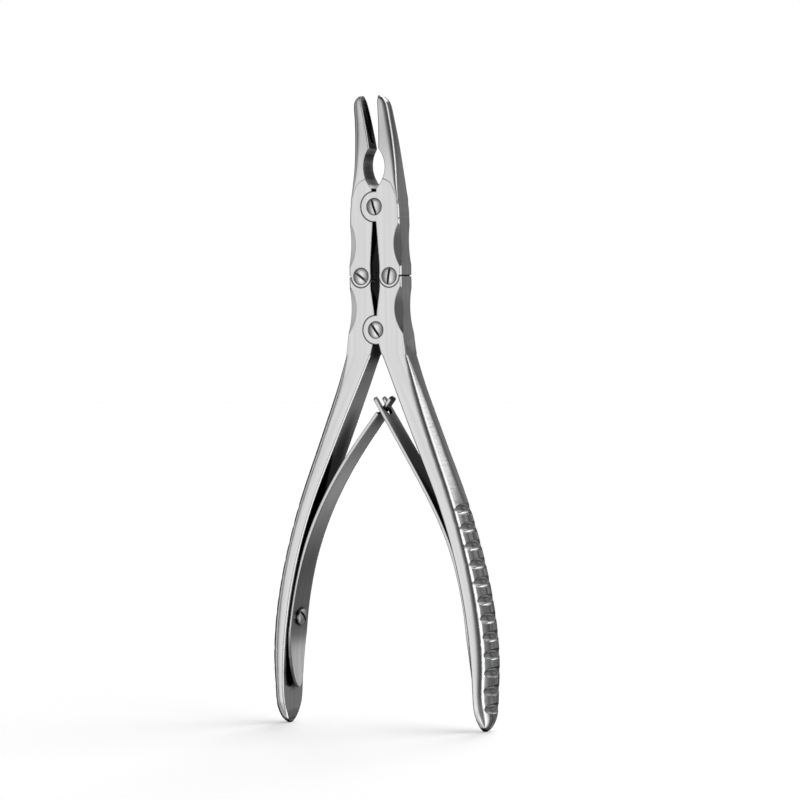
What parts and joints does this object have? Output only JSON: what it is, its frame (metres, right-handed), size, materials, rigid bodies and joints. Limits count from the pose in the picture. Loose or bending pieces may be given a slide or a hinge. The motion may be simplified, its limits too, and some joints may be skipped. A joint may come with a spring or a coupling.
{
  "type": "bone rongeur",
  "caption": "Double-action bone rongeur: cupped jaws curved to the front on a four-pivot lever linkage, with long bowed handles, grip notches and crossed leaf springs.",
  "frame": {"origin": "bottom centre of the instrument's box, level with the ends of the two handles, on the mid-plane between them and midway through the joint plates", "axes": "+Z from the handle ends to the jaw tips, +X to the right handle, +Y away from the front, where the screw heads are and towards which the jaws curve is -Y"},
  "size_m": [0.0746, 0.0126, 0.1898],
  "materials": {
    "satin_steel": "satin ground front and back faces, polished rounded sides",
    "spring_steel": "satin, ground along the length",
    "screw_steel": "polished domed heads"
  },
  "bodies": {
    "left_handle": {"left_handle": "satin_steel", "handle_pivot_screw": "screw_steel", "left_link_screw": "screw_steel", "left_spring_screw": "screw_steel"},
    "right_handle": {"right_handle": "satin_steel", "right_link_screw": "screw_steel", "right_spring_screw": "screw_steel"},
    "left_jaw": {"left_jaw": "satin_steel", "jaw_pivot_screw": "screw_steel"},
    "right_jaw": {"right_jaw": "satin_steel"},
    "left_spring": {"left_leaf_spring": "spring_steel"},
    "right_spring": {"right_leaf_spring": "spring_steel"}
  },
  "joints": [
    {"name": "handle_pivot", "type": "hinge", "parent": "left_handle", "child": "right_handle", "pos_m": [0, 0, 0.1195], "axis": [0, 1, 0], "range_deg": [-5, 12.7], "stiffness_Nm_per_rad": 4},
    {"name": "left_link", "type": "hinge", "parent": "left_handle", "child": "left_jaw", "pos_m": [-0.0048, 0, 0.13565], "axis": [0, 1, 0], "range_deg": [-4.5, 11.3]},
    {"name": "right_link", "type": "hinge", "parent": "right_handle", "child": "right_jaw", "pos_m": [0.0048, 0, 0.13565], "axis": [0, 1, 0], "range_deg": [-11.3, 4.5]},
    {"name": "left_spring_flex", "type": "hinge", "parent": "left_handle", "child": "left_spring", "pos_m": [-0.03047, 0, 0.0326], "axis": [0, 1, 0], "range_deg": [-1.8, 0.72], "deforming": ["left_leaf_spring"]},
    {"name": "right_spring_flex", "type": "hinge", "parent": "right_handle", "child": "right_spring", "pos_m": [0.03047, 0, 0.0326], "axis": [0, 1, 0], "range_deg": [-1.1, 2.75], "deforming": ["right_leaf_spring"]}
  ],
  "couplings": [
    {"joint": "left_link", "follows": "handle_pivot", "ratio": 0.8844},
    {"joint": "right_link", "follows": "handle_pivot", "ratio": -0.8844},
    {"joint": "left_spring_flex", "follows": "handle_pivot", "ratio": -0.141},
    {"joint": "right_spring_flex", "follows": "handle_pivot", "ratio": 0.216}
  ]
}
